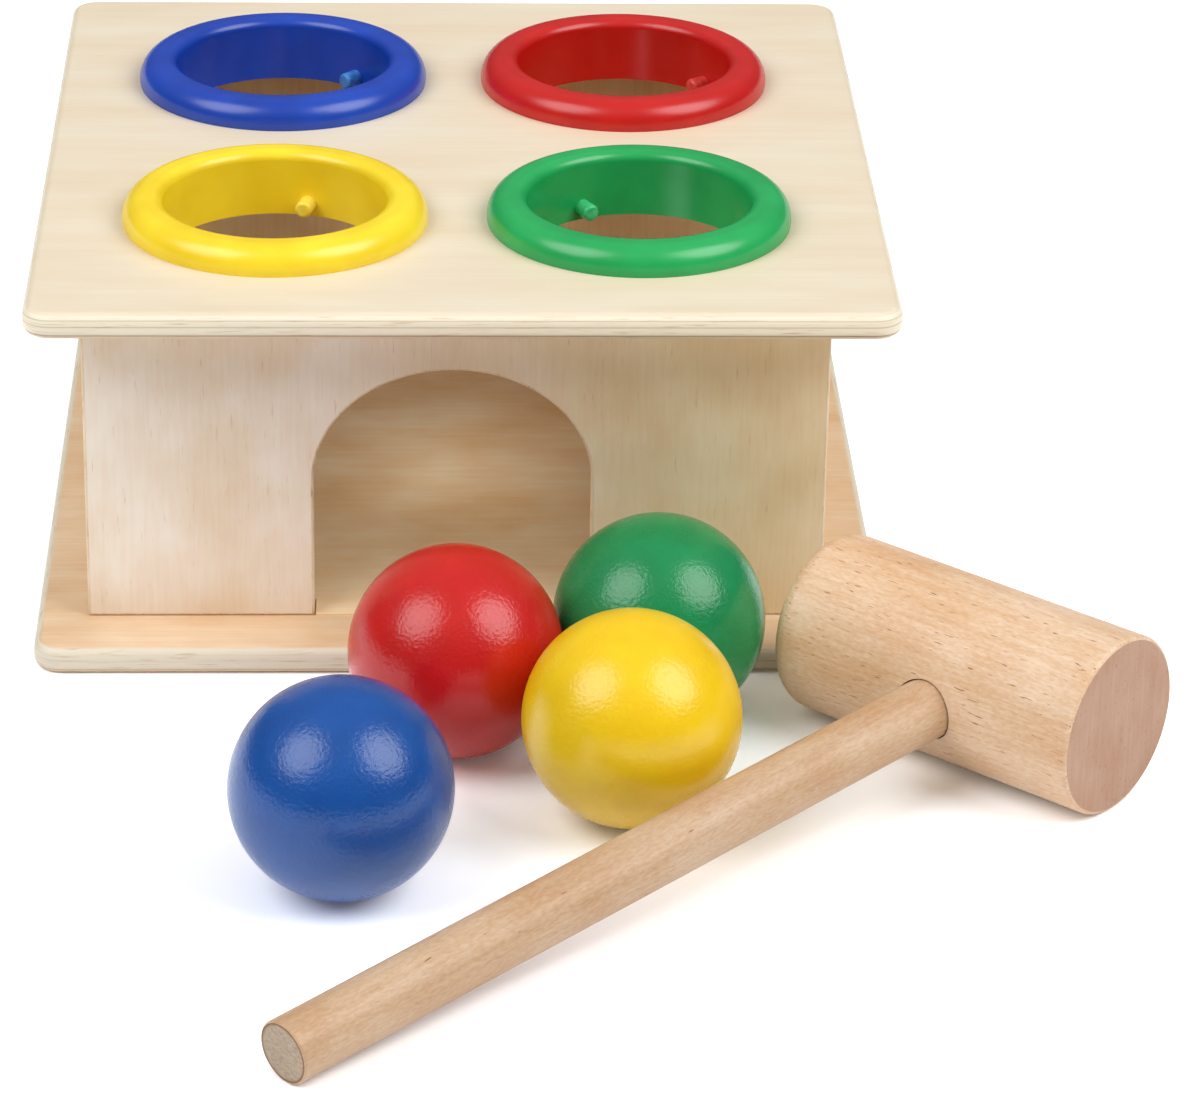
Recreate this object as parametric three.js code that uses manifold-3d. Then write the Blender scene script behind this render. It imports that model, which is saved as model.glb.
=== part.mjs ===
// Hammer ball bench: a plywood box whose top has four ringed holes, four wooden balls that are
// knocked through them and roll out of an arch in front, and a wooden hammer.
// Millimetres, +Z up. The origin is the middle of the base's underside and -Y is the front.

import * as THREE from 'three';
import { mergeVertices } from 'three/addons/utils/BufferGeometryUtils.js';
import Module from 'manifold-3d';

const wasm = await Module();
wasm.setup();

// Balls and the rings that hold them
const BALL_DIAMETER = 45;
const BALL_CLEARANCE = 2;
const RING_PITCH_X = 79.4;
const RING_PITCH_Y = 86.4;
const SLEEVE_WALL = 2;
const SLEEVE_DROP = 2.5;
const BEAD_WIDTH = 8.8;
const BEAD_HEIGHT = 6.3;
const BEAD_WAIST_HEIGHT = 1.8;
const PEG_DIAMETER = 3.4;
const PEG_LENGTH = 4.3;
const PEG_TIP_EASE = 0.6;
const PEG_ABOVE_SLEEVE_END = 2;
const PEGS_PER_RING = 3;

// Boards of the box
const BOARD = 6;
const WALL_HEIGHT = 72.2;
const HOLE_CLEARANCE = 0.2;
const HOLE_MARGIN_X = 7.6;
const HOLE_MARGIN_Y = 5.4;
const SIDE_OVERHANG = 12.5;
const FRONT_OVERHANG = 16.7;
const PANEL_CORNER = 6;
const PANEL_EDGE_ROUND = 2.2;

// The box and the rings sit a little off the middle of the panels
const BOX_OFFSET_X = -1.3;
const RING_OFFSET_X = -0.9;
const RING_OFFSET_Y = -1.2;

// Arch in the front wall
const ARCH_SIDE_ROOM = 7.5;
const ARCH_TOP_ROOM = 13.3;
const ARCH_RISE = 26;
const ARCH_OFFSET_X = -0.8;

// Sloping floor that brings the balls to the arch, and the rail under its back end
const RAMP_THICKNESS = 4;
const RAMP_NOSE = 0.4;
const RAMP_RISE = 14;
const RAMP_CLEARANCE = 0.3;
const RAIL_DEPTH = 10;

// Wooden pins between the walls and the panels
const PIN_DIAMETER = 3;
const PIN_IN_PANEL = 3.6;
const PIN_IN_WALL = 7;
const PIN_FROM_WALL_END = 22;
const PIN_CLEARANCE = 0.1;
const PIN_END_GAP = 0.2;

// Hammer
const HEAD_DIAMETER = 38.6;
const HEAD_LENGTH = 76.2;
const HEAD_FAR_ROUND = 4.5;
const HEAD_NEAR_EASE = 1;
const HANDLE_DIAMETER = 13;
const HANDLE_REACH = 193.3;
const HANDLE_END_EASE = 1.2;
const HANDLE_LEAN = 6.7;
const HANDLE_OFFSET = 4.6;
const SOCKET_PAST_AXIS = 8;
const SOCKET_CLEARANCE = 0.3;

// Where the loose pieces lie on the table in front of the box
const HEAD_AZIMUTH = -41.7;
const HEAD_END_INSET = 16;
const HEAD_TO_BASE_GAP = 3.2;
const HANDLE_TO_BALL_GAP = 2.4;
const GREEN_BALL_GAP = 2.8;

// Facet counts
const RING_SIDES = 32;
const BALL_SIDES = 24;
const HEAD_SIDES = 32;
const HANDLE_SIDES = 20;
const PIN_SIDES = 12;
const ROUND_STEPS = 2;
const BEAD_STEPS = 5;

// Sizes that follow
const BALL_RADIUS = BALL_DIAMETER / 2;
const BORE_RADIUS = BALL_RADIUS + BALL_CLEARANCE;
const SLEEVE_RADIUS = BORE_RADIUS + SLEEVE_WALL;
const HOLE_RADIUS = SLEEVE_RADIUS + HOLE_CLEARANCE;
const BOX_WIDTH = RING_PITCH_X + 2 * (HOLE_RADIUS + HOLE_MARGIN_X + BOARD);
const BOX_DEPTH = RING_PITCH_Y + 2 * (HOLE_RADIUS + HOLE_MARGIN_Y + BOARD);
const PANEL_WIDTH = BOX_WIDTH + 2 * SIDE_OVERHANG;
const PANEL_DEPTH = BOX_DEPTH + 2 * FRONT_OVERHANG;
const TOP_UNDERSIDE = BOARD + WALL_HEIGHT;
const WALL_LINE_Y = (BOX_DEPTH - BOARD) / 2;
const WALL_LINE_X = (BOX_WIDTH - BOARD) / 2;
const PIN_REACH_X = BOX_WIDTH / 2 - PIN_FROM_WALL_END;
const ARCH_WIDTH = BALL_DIAMETER + 2 * ARCH_SIDE_ROOM;
const ARCH_HEIGHT = BALL_DIAMETER + ARCH_TOP_ROOM;
const HEAD_RADIUS = HEAD_DIAMETER / 2;
const HANDLE_RADIUS = HANDLE_DIAMETER / 2;

// Each ring has a colour, a corner of the top and the angle of its first peg
const RINGS = [
  { colour: 'yellow', right: -1, back: -1, firstPeg: 74 },
  { colour: 'green', right: 1, back: -1, firstPeg: 118 },
  { colour: 'blue', right: -1, back: 1, firstPeg: 46.5 },
  { colour: 'red', right: 1, back: 1, firstPeg: 35.6 },
];

// Steps from the green ball to each ball, in ball diameters
const BALLS = [
  { colour: 'green', step: [0, 0] },
  { colour: 'red', step: [-0.957, -0.333] },
  { colour: 'yellow', step: [-0.168, -1.008] },
  { colour: 'blue', step: [-1.473, -1.662] },
];

const FINISHES = {
  topPly: { color: 0xeee0c4, roughness: 0.5, metalness: 0 },
  basePly: { color: 0xe8c89b, roughness: 0.5, metalness: 0 },
  wallPly: { color: 0xcdb296, roughness: 0.6, metalness: 0 },
  rampPly: { color: 0xd9c6a0, roughness: 0.6, metalness: 0 },
  beech: { color: 0xe1b991, roughness: 0.55, metalness: 0 },
  pin: { color: 0xd8b98c, roughness: 0.7, metalness: 0 },
  ring_yellow: { color: 0xffe132, roughness: 0.25, metalness: 0 },
  ring_green: { color: 0x28af5f, roughness: 0.25, metalness: 0 },
  ring_blue: { color: 0x1e4bbe, roughness: 0.25, metalness: 0 },
  ring_red: { color: 0xd21919, roughness: 0.25, metalness: 0 },
  ball_yellow: { color: 0xf5cd2d, roughness: 0.35, metalness: 0 },
  ball_green: { color: 0x199659, roughness: 0.35, metalness: 0 },
  ball_blue: { color: 0x235ab4, roughness: 0.35, metalness: 0 },
  ball_red: { color: 0xcd2828, roughness: 0.35, metalness: 0 },
};

const radians = THREE.MathUtils.degToRad;

// A closed solid from a geometry, without the triangles that collapse where a revolve meets its axis
function toSolid(geometry) {
  const bare = geometry.clone();
  bare.deleteAttribute('normal');
  bare.deleteAttribute('uv');
  const merged = mergeVertices(bare, 1e-4);
  const triangles = [];
  const corners = merged.index.array;
  for (let i = 0; i < corners.length; i += 3) {
    const [a, b, c] = corners.slice(i, i + 3);
    if (a !== b && b !== c && c !== a) {
      triangles.push(a, b, c);
    }
  }
  const vertProperties = new Float32Array(merged.attributes.position.array);
  const triVerts = new Uint32Array(triangles);
  return new wasm.Manifold(new wasm.Mesh({ numProp: 3, vertProperties, triVerts }));
}

// A named piece of the scene from a solid
function makePiece(name, solid, finish) {
  const { vertProperties, triVerts } = solid.getMesh();
  const geometry = new THREE.BufferGeometry();
  geometry.setAttribute('position', new THREE.BufferAttribute(vertProperties, 3));
  geometry.setIndex(new THREE.BufferAttribute(triVerts, 1));
  geometry.computeVertexNormals();
  const mesh = new THREE.Mesh(geometry, new THREE.MeshStandardMaterial(FINISHES[finish]));
  mesh.name = name;
  return mesh;
}

// A revolve about Z of a path of radius and height
function turned(path, sides, steps = ROUND_STEPS) {
  return new THREE.LatheGeometry(path.getPoints(steps), sides).rotateX(Math.PI / 2);
}

// A round bar along Z, from z = 0 to its length, with an eased end on either side
function turnedBar(radius, length, startEase, endEase, sides) {
  const path = new THREE.Path();
  path.moveTo(0, 0);
  path.lineTo(radius - startEase, 0);
  path.absarc(radius - startEase, startEase, startEase, -Math.PI / 2, 0);
  path.absarc(radius - endEase, length - endEase, endEase, 0, Math.PI / 2);
  path.lineTo(0, length);
  return turned(path, sides);
}

// A plain cylinder along Z, from z = 0 to its length
function plainBar(radius, length, sides) {
  return new THREE.CylinderGeometry(radius, radius, length, sides)
    .rotateX(Math.PI / 2)
    .translate(0, 0, length / 2);
}

// Places the two pins of the front or the back wall, across the box
function pinLine(backward) {
  return [-1, 1].map((right) => ({
    right,
    x: BOX_OFFSET_X + right * PIN_REACH_X,
    y: backward * WALL_LINE_Y,
  }));
}

// A drilled hole for a pin, from a face at z = 0 up to the given depth
function pinHole(depth) {
  const overrun = 1;
  return plainBar(PIN_DIAMETER / 2 + PIN_CLEARANCE, depth + PIN_END_GAP + overrun, PIN_SIDES)
    .translate(0, 0, -overrun);
}

// A plywood panel with round corners and rounded-over edges, its underside at z = 0
function panelSolid() {
  const x = PANEL_WIDTH / 2 - PANEL_EDGE_ROUND;
  const y = PANEL_DEPTH / 2 - PANEL_EDGE_ROUND;
  const r = PANEL_CORNER - PANEL_EDGE_ROUND;
  const outline = new THREE.Shape();
  outline.moveTo(-x + r, -y);
  outline.absarc(x - r, -y + r, r, -Math.PI / 2, 0);
  outline.absarc(x - r, y - r, r, 0, Math.PI / 2);
  outline.absarc(-x + r, y - r, r, Math.PI / 2, Math.PI);
  outline.absarc(-x + r, -y + r, r, Math.PI, 1.5 * Math.PI);
  const geometry = new THREE.ExtrudeGeometry(outline, {
    depth: BOARD - 2 * PANEL_EDGE_ROUND,
    bevelThickness: PANEL_EDGE_ROUND,
    bevelSize: PANEL_EDGE_ROUND,
    bevelSegments: 3,
    curveSegments: 3,
  });
  return toSolid(geometry.translate(0, 0, PANEL_EDGE_ROUND));
}

// Middle of a ring, seen from above
function ringPlace(ring) {
  return {
    x: RING_OFFSET_X + (ring.right * RING_PITCH_X) / 2,
    y: RING_OFFSET_Y + (ring.back * RING_PITCH_Y) / 2,
  };
}

function makeBasePanel() {
  let solid = panelSolid();
  for (const pin of [...pinLine(-1), ...pinLine(1)]) {
    const hole = pinHole(PIN_IN_PANEL).rotateX(Math.PI).translate(pin.x, pin.y, BOARD);
    solid = solid.subtract(toSolid(hole));
  }
  return makePiece('base_panel', solid, 'basePly');
}

function makeTopPanel() {
  let solid = panelSolid();
  for (const ring of RINGS) {
    const { x, y } = ringPlace(ring);
    const hole = plainBar(HOLE_RADIUS, 3 * BOARD, RING_SIDES).translate(x, y, -BOARD);
    solid = solid.subtract(toSolid(hole));
  }
  for (const pin of [...pinLine(-1), ...pinLine(1)]) {
    solid = solid.subtract(toSolid(pinHole(PIN_IN_PANEL).translate(pin.x, pin.y, 0)));
  }
  const panel = makePiece('top_panel', solid, 'topPly');
  panel.position.z = TOP_UNDERSIDE;
  return panel;
}

// Outline of the front wall: a board with a flat-sided arch whose top is half an ellipse
function archedOutline() {
  const half = BOX_WIDTH / 2;
  const spring = ARCH_HEIGHT - ARCH_RISE;
  const outline = new THREE.Shape();
  outline.moveTo(half, 0);
  outline.lineTo(half, WALL_HEIGHT);
  outline.lineTo(-half, WALL_HEIGHT);
  outline.lineTo(-half, 0);
  outline.lineTo(ARCH_OFFSET_X - ARCH_WIDTH / 2, 0);
  outline.absellipse(ARCH_OFFSET_X, spring, ARCH_WIDTH / 2, ARCH_RISE, Math.PI, 0, true);
  outline.lineTo(ARCH_OFFSET_X + ARCH_WIDTH / 2, 0);
  return outline;
}

function plainOutline() {
  const half = BOX_WIDTH / 2;
  const outline = new THREE.Shape();
  outline.moveTo(half, 0);
  outline.lineTo(half, WALL_HEIGHT);
  outline.lineTo(-half, WALL_HEIGHT);
  outline.lineTo(-half, 0);
  return outline;
}

// A wall across the box, drilled for its pins in the lower and the upper edge
function makeCrossWall(name, outline, backward) {
  const board = new THREE.ExtrudeGeometry(outline, { depth: BOARD, bevelEnabled: false, curveSegments: 10 })
    .rotateX(Math.PI / 2)
    .translate(0, BOARD / 2, 0);
  let solid = toSolid(board);
  for (const right of [-1, 1]) {
    const x = right * PIN_REACH_X;
    const upperHole = pinHole(PIN_IN_WALL).rotateX(Math.PI).translate(x, 0, WALL_HEIGHT);
    solid = solid.subtract(toSolid(pinHole(PIN_IN_WALL).translate(x, 0, 0)));
    solid = solid.subtract(toSolid(upperHole));
  }
  const wall = makePiece(name, solid, 'wallPly');
  wall.position.set(BOX_OFFSET_X, backward * WALL_LINE_Y, BOARD);
  return wall;
}

// A side wall, which fits between the front and the back wall
function makeSideWall(name, right) {
  const board = new THREE.BoxGeometry(BOARD, BOX_DEPTH - 2 * BOARD, WALL_HEIGHT);
  const wall = makePiece(name, toSolid(board), 'wallPly');
  wall.position.set(BOX_OFFSET_X + right * WALL_LINE_X, 0, BOARD + WALL_HEIGHT / 2);
  return wall;
}

// Side view of the ramp, as distance from the front face of the box and height above the base
const RAMP_LENGTH = BOX_DEPTH - BOARD - RAMP_CLEARANCE;
const RAMP_SLOPE = RAMP_RISE / RAMP_LENGTH;
const RAMP_DEPTH_BELOW = RAMP_THICKNESS * Math.hypot(1, RAMP_SLOPE);

function rampTop(y) {
  return RAMP_NOSE + RAMP_SLOPE * y;
}

// Turns a side-view extrusion so that it runs across the box
function acrossBox(outline, width) {
  const sideToBox = new THREE.Matrix4().makeBasis(
    new THREE.Vector3(0, 1, 0),
    new THREE.Vector3(0, 0, 1),
    new THREE.Vector3(1, 0, 0),
  );
  return new THREE.ExtrudeGeometry(outline, { depth: width, bevelEnabled: false })
    .applyMatrix4(sideToBox)
    .translate(-width / 2, 0, 0);
}

function makeRamp() {
  const footEnd = (RAMP_DEPTH_BELOW - RAMP_NOSE) / RAMP_SLOPE;
  const side = new THREE.Shape();
  side.moveTo(0, 0);
  side.lineTo(footEnd, 0);
  side.lineTo(RAMP_LENGTH, rampTop(RAMP_LENGTH) - RAMP_DEPTH_BELOW);
  side.lineTo(RAMP_LENGTH, rampTop(RAMP_LENGTH));
  side.lineTo(0, RAMP_NOSE);

  const half = BOX_WIDTH / 2 - BOARD - RAMP_CLEARANCE;
  const tongue = ARCH_WIDTH / 2 - RAMP_CLEARANCE;
  const shoulder = BOARD + RAMP_CLEARANCE;
  const plan = new THREE.Shape();
  plan.moveTo(ARCH_OFFSET_X - tongue, 0);
  plan.lineTo(ARCH_OFFSET_X + tongue, 0);
  plan.lineTo(ARCH_OFFSET_X + tongue, shoulder);
  plan.lineTo(half, shoulder);
  plan.lineTo(half, RAMP_LENGTH);
  plan.lineTo(-half, RAMP_LENGTH);
  plan.lineTo(-half, shoulder);
  plan.lineTo(ARCH_OFFSET_X - tongue, shoulder);
  const cutter = new THREE.ExtrudeGeometry(plan, { depth: WALL_HEIGHT, bevelEnabled: false })
    .translate(0, 0, -1);

  const solid = toSolid(acrossBox(side, BOX_WIDTH)).intersect(toSolid(cutter));
  const ramp = makePiece('ramp', solid, 'rampPly');
  ramp.position.set(BOX_OFFSET_X, -BOX_DEPTH / 2, BOARD);
  return ramp;
}

function makeRampRail() {
  const back = BOX_DEPTH - BOARD;
  const front = back - RAIL_DEPTH;
  const side = new THREE.Shape();
  side.moveTo(front, 0);
  side.lineTo(back, 0);
  side.lineTo(back, rampTop(back) - RAMP_DEPTH_BELOW);
  side.lineTo(front, rampTop(front) - RAMP_DEPTH_BELOW);
  const width = BOX_WIDTH - 2 * (BOARD + RAMP_CLEARANCE);
  const rail = makePiece('ramp_rail', toSolid(acrossBox(side, width)), 'pin');
  rail.position.set(BOX_OFFSET_X, -BOX_DEPTH / 2, BOARD);
  return rail;
}

// Pins stand half in a panel and half in the wall's edge
function makePins() {
  const length = PIN_IN_PANEL + PIN_IN_WALL;
  const ends = [
    { end: 'bottom', z: BOARD - PIN_IN_PANEL },
    { end: 'top', z: TOP_UNDERSIDE - PIN_IN_WALL },
  ];
  const pins = [];
  for (const [wall, backward] of [['front', -1], ['back', 1]]) {
    for (const { right, x, y } of pinLine(backward)) {
      for (const { end, z } of ends) {
        const side = right < 0 ? 'left' : 'right';
        const bar = toSolid(plainBar(PIN_DIAMETER / 2, length, PIN_SIDES));
        const pin = makePiece(`pin_${wall}_${side}_${end}`, bar, 'pin');
        pin.position.set(x, y, z);
        pins.push(pin);
      }
    }
  }
  return pins;
}

// A moulded ring: a bead that lies on the top, a sleeve through the hole and pegs that stop the ball
function makeRing(ring) {
  const sleeveEnd = -BOARD - SLEEVE_DROP;
  const beadMiddle = BORE_RADIUS + BEAD_WIDTH / 2;
  const beadRise = BEAD_HEIGHT - BEAD_WAIST_HEIGHT;
  const footAngle = -Math.asin(BEAD_WAIST_HEIGHT / beadRise);
  const outline = new THREE.Path();
  outline.moveTo(BORE_RADIUS, sleeveEnd);
  outline.lineTo(SLEEVE_RADIUS, sleeveEnd);
  outline.lineTo(SLEEVE_RADIUS, 0);
  outline.absellipse(beadMiddle, BEAD_WAIST_HEIGHT, BEAD_WIDTH / 2, beadRise, footAngle, Math.PI);
  outline.lineTo(BORE_RADIUS, sleeveEnd);
  let solid = toSolid(turned(outline, RING_SIDES, BEAD_STEPS));

  const root = SLEEVE_WALL / 2;
  const pegHeight = sleeveEnd + PEG_ABOVE_SLEEVE_END;
  for (let i = 0; i < PEGS_PER_RING; i += 1) {
    const angle = radians(ring.firstPeg) + (i * 2 * Math.PI) / PEGS_PER_RING;
    const peg = turnedBar(PEG_DIAMETER / 2, PEG_LENGTH + root, 0, PEG_TIP_EASE, PIN_SIDES)
      .rotateY(-Math.PI / 2)
      .translate(BORE_RADIUS + root, 0, pegHeight)
      .rotateZ(angle);
    solid = solid.add(toSolid(peg));
  }
  const piece = makePiece(`ring_${ring.colour}`, solid, `ring_${ring.colour}`);
  const { x, y } = ringPlace(ring);
  piece.position.set(x, y, TOP_UNDERSIDE + BOARD);
  return piece;
}

// Half the width of a round piece on the table at the height of the base's top
function chordAtBase(radius) {
  return Math.sqrt(radius ** 2 - (radius - BOARD) ** 2);
}

// A way along the table, at an angle in degrees from +X
function levelWay(azimuth) {
  return new THREE.Vector2(1, 0).rotateAround(new THREE.Vector2(), radians(azimuth));
}

// Ways out of the head's near end, square across the handle, and up the handle to the head
const TOWARD_CAP = levelWay(HEAD_AZIMUTH);
const ACROSS_HANDLE = levelWay(HEAD_AZIMUTH - HANDLE_LEAN);
const TOWARD_HEAD = levelWay(HEAD_AZIMUTH - HANDLE_LEAN + 90);

// Middle of the hammer head, whose far end lies just in front of the base's right corner
function headPlace() {
  const backReach = (HEAD_LENGTH / 2 - HEAD_FAR_ROUND) * Math.abs(TOWARD_CAP.y)
    + chordAtBase(HEAD_RADIUS) * TOWARD_CAP.x;
  return new THREE.Vector3(
    PANEL_WIDTH / 2 - HEAD_END_INSET + (TOWARD_CAP.x * HEAD_LENGTH) / 2,
    -PANEL_DEPTH / 2 - HEAD_TO_BASE_GAP - backReach,
    HEAD_RADIUS,
  );
}

// Point on the table below the crossing of the handle and the head's axis
function socketPlace() {
  const head = headPlace();
  return new THREE.Vector2(head.x, head.y).addScaledVector(TOWARD_CAP, HANDLE_OFFSET);
}

// Middle of the green ball: next to the base, where the yellow ball lies close to the handle
function greenBallPlace() {
  const y = -PANEL_DEPTH / 2 - chordAtBase(BALL_RADIUS) - GREEN_BALL_GAP;
  const toYellow = BALLS.find((ball) => ball.colour === 'yellow').step;
  const yellowY = y + toYellow[1] * BALL_DIAMETER;

  const socket = socketPlace();
  const besideHandle = BALL_RADIUS + HANDLE_RADIUS + HANDLE_TO_BALL_GAP;
  const alongHandle = (socket.y - yellowY - ACROSS_HANDLE.y * besideHandle) / TOWARD_HEAD.y;
  const yellowX = socket.x - ACROSS_HANDLE.x * besideHandle - TOWARD_HEAD.x * alongHandle;
  return { x: yellowX - toYellow[0] * BALL_DIAMETER, y };
}

function ballPlace(step) {
  const green = greenBallPlace();
  return new THREE.Vector3(
    green.x + step[0] * BALL_DIAMETER,
    green.y + step[1] * BALL_DIAMETER,
    BALL_RADIUS,
  );
}

function makeBall({ colour, step }) {
  const sphere = new THREE.SphereGeometry(BALL_RADIUS, BALL_SIDES, BALL_SIDES / 1.5).rotateX(Math.PI / 2);
  const ball = makePiece(`ball_${colour}`, toSolid(sphere), `ball_${colour}`);
  ball.position.copy(ballPlace(step));
  return ball;
}

// The hammer lies on its head and on the end of its handle, so the handle drops towards its end
const HANDLE_DROP = Math.asin((HEAD_RADIUS - HANDLE_RADIUS) / (HANDLE_REACH - HANDLE_END_EASE));

// Brings a bar along X to the handle's way out of the head, whose axis is Y
function asHandle(bar) {
  return bar.rotateY(HANDLE_DROP).rotateZ(-radians(HANDLE_LEAN)).translate(0, HANDLE_OFFSET, 0);
}

function makeHammerHead() {
  const cylinder = turnedBar(HEAD_RADIUS, HEAD_LENGTH, HEAD_FAR_ROUND, HEAD_NEAR_EASE, HEAD_SIDES)
    .rotateX(-Math.PI / 2)
    .translate(0, -HEAD_LENGTH / 2, 0);
  const bore = plainBar(HANDLE_RADIUS + SOCKET_CLEARANCE, SOCKET_PAST_AXIS + HEAD_DIAMETER, HANDLE_SIDES)
    .rotateY(Math.PI / 2)
    .translate(-SOCKET_PAST_AXIS, 0, 0);
  const solid = toSolid(cylinder).subtract(toSolid(asHandle(bore)));
  return makePiece('hammer_head', solid, 'beech');
}

function makeHammerHandle() {
  const start = SOCKET_CLEARANCE - SOCKET_PAST_AXIS;
  const bar = turnedBar(HANDLE_RADIUS, HANDLE_REACH - start, 0, HANDLE_END_EASE, HANDLE_SIDES)
    .rotateY(Math.PI / 2)
    .translate(start, 0, 0);
  return makePiece('hammer_handle', toSolid(asHandle(bar)), 'beech');
}

function makeHammer() {
  const hammer = new THREE.Group();
  hammer.add(makeHammerHead(), makeHammerHandle());
  hammer.rotation.z = radians(HEAD_AZIMUTH) - Math.PI / 2;
  hammer.position.copy(headPlace());
  return hammer;
}

const bench = new THREE.Group();
bench.add(
  makeBasePanel(),
  makeTopPanel(),
  makeCrossWall('front_wall', archedOutline(), -1),
  makeCrossWall('back_wall', plainOutline(), 1),
  makeSideWall('left_wall', -1),
  makeSideWall('right_wall', 1),
  makeRamp(),
  makeRampRail(),
  ...makePins(),
  ...RINGS.map(makeRing),
);

const toy = new THREE.Group();
toy.add(bench, ...BALLS.map(makeBall), makeHammer());

export default toy;
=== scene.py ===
"""Looks of a hammer ball bench: plywood box, moulded rings, painted balls and a beech hammer."""

import logging
import math
from dataclasses import dataclass, field
from enum import Enum

import bmesh
import bpy
from mathutils import Euler, Matrix, Vector


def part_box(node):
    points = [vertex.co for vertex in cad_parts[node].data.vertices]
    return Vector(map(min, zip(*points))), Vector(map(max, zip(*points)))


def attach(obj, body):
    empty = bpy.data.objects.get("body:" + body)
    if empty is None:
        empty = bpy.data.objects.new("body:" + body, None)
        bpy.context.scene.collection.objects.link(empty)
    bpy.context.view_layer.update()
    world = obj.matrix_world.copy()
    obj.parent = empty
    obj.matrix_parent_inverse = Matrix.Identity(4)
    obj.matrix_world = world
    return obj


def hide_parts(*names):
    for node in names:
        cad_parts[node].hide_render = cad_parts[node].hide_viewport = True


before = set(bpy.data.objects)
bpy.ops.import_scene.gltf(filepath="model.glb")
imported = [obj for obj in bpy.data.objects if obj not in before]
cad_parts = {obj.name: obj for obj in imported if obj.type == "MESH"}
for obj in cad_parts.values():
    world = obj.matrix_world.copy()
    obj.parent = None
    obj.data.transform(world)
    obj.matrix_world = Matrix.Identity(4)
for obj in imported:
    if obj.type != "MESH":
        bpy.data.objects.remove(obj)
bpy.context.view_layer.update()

LOG = logging.getLogger("bench")
MM = 0.001

# Inputs and settings of a Mix node for colours, whose sockets go by number
SHARE, UNDER, OVER = 0, 6, 7
COLOUR_MIX = {"data_type": "RGBA", "output": 2}
DARKEN = {"blend_type": "MULTIPLY", **COLOUR_MIX}

# Points that lie closer than this are one, on a whole piece and on a spun solid
PIECE_MERGE = 0.5e-3 * MM
SPIN_MERGE = 0.1e-3 * MM

# Turns, in radians, from which an edge is shaded as sharp, and from which it is rounded over
CREASE_TURN = math.radians(35.0)
SHARP_TURN = 0.8

# Material number of the faces that have a piece's second finish
SECOND_FINISH = 1


class Colour(Enum):
    """The four colours of the rings and the balls."""

    YELLOW = "yellow"
    GREEN = "green"
    BLUE = "blue"
    RED = "red"


class Grain(Enum):
    """The turn that brings a pattern's Z axis to the run of a board's grain."""

    ACROSS = (0.0, math.pi / 2, 0.0)
    UPRIGHT = (0.0, 0.0, 0.0)

    @property
    def turn(self) -> Euler:
        """The turn as Euler angles."""
        return Euler(self.value)


def linear(hex_colour: str) -> tuple[float, float, float, float]:
    """Turns an sRGB hex colour to linear light.

    Args:
        hex_colour: Six hex digits.

    Returns:
        Red, green, blue and an alpha of 1.
    """
    shares = [int(hex_colour[i : i + 2], 16) / 255 for i in (0, 2, 4)]
    light = [c / 12.92 if c <= 0.04045 else ((c + 0.055) / 1.055) ** 2.4 for c in shares]
    return (*light, 1.0)


def add_node(
    tree: bpy.types.NodeTree,
    kind: str,
    inputs: dict[str | int, object] | None = None,
    output: str | int = 0,
    stops: list[tuple[float, str]] | None = None,
    **settings: object,
) -> bpy.types.NodeSocket | None:
    """Adds a node with its settings, its fixed inputs and its links.

    Args:
        tree: The node tree to add to.
        kind: The node's type name.
        inputs: Input name or number to a value, or to an output socket to link from.
        output: The output that is wanted.
        stops: A colour ramp's places and hex colours.
        **settings: Properties of the node.

    Returns:
        The wanted output, or None for a node without outputs.
    """
    node = tree.nodes.new(kind)
    for name, value in settings.items():
        setattr(node, name, value)
    for key, value in (inputs or {}).items():
        if isinstance(value, bpy.types.NodeSocket):
            tree.links.new(value, node.inputs[key])
        else:
            node.inputs[key].default_value = value
    for i, (place, colour) in enumerate(stops or []):
        ramp = node.color_ramp.elements
        stop = ramp[i] if i < len(ramp) else ramp.new(place)
        stop.position = place
        stop.color = linear(colour)
    return node.outputs[output] if node.outputs else None


def pattern_space(
    tree: bpy.types.NodeTree, size_mm: tuple[float, float, float], origin: Vector, turn: Euler
) -> bpy.types.NodeSocket:
    """Gives coordinates in which one unit is a real size, in a frame that follows the piece.

    Args:
        tree: The material's node tree.
        size_mm: Length of one unit along each axis of the frame.
        origin: The frame's origin, in metres.
        turn: The frame's turn.

    Returns:
        The coordinates' output socket.
    """
    place = add_node(tree, "ShaderNodeTexCoord", output="Object")
    scale = [s * MM for s in size_mm]
    inputs = {"Vector": place, "Location": origin, "Rotation": turn, "Scale": scale}
    return add_node(tree, "ShaderNodeMapping", inputs, vector_type="TEXTURE")


@dataclass(frozen=True)
class Layer:
    """A noise pattern of a real size that runs from one tone to another."""

    size_mm: tuple[float, float, float]
    first: str
    last: str
    low: float = 0.32
    high: float = 0.68
    detail: float = 3.0

    def tone(self, tree: bpy.types.NodeTree, origin: Vector, turn: Euler) -> bpy.types.NodeSocket:
        """Adds the pattern to a material.

        Args:
            tree: The material's node tree.
            origin: Origin of the pattern's frame.
            turn: Turn of the pattern's frame.

        Returns:
            The colour's output socket.
        """
        space = pattern_space(tree, self.size_mm, origin, turn)
        inputs = {"Vector": space, "Scale": 1.0, "Detail": self.detail}
        noise = add_node(tree, "ShaderNodeTexNoise", inputs)
        stops = [(self.low, self.first), (self.high, self.last)]
        return add_node(tree, "ShaderNodeValToRGB", {"Fac": noise}, stops=stops)


@dataclass(frozen=True)
class Relief:
    """Fine unevenness of a surface: its size, its strength and its depth."""

    size_mm: tuple[float, float, float]
    strength: float
    depth_mm: float = 0.1
    detail: float = 2.0


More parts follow.
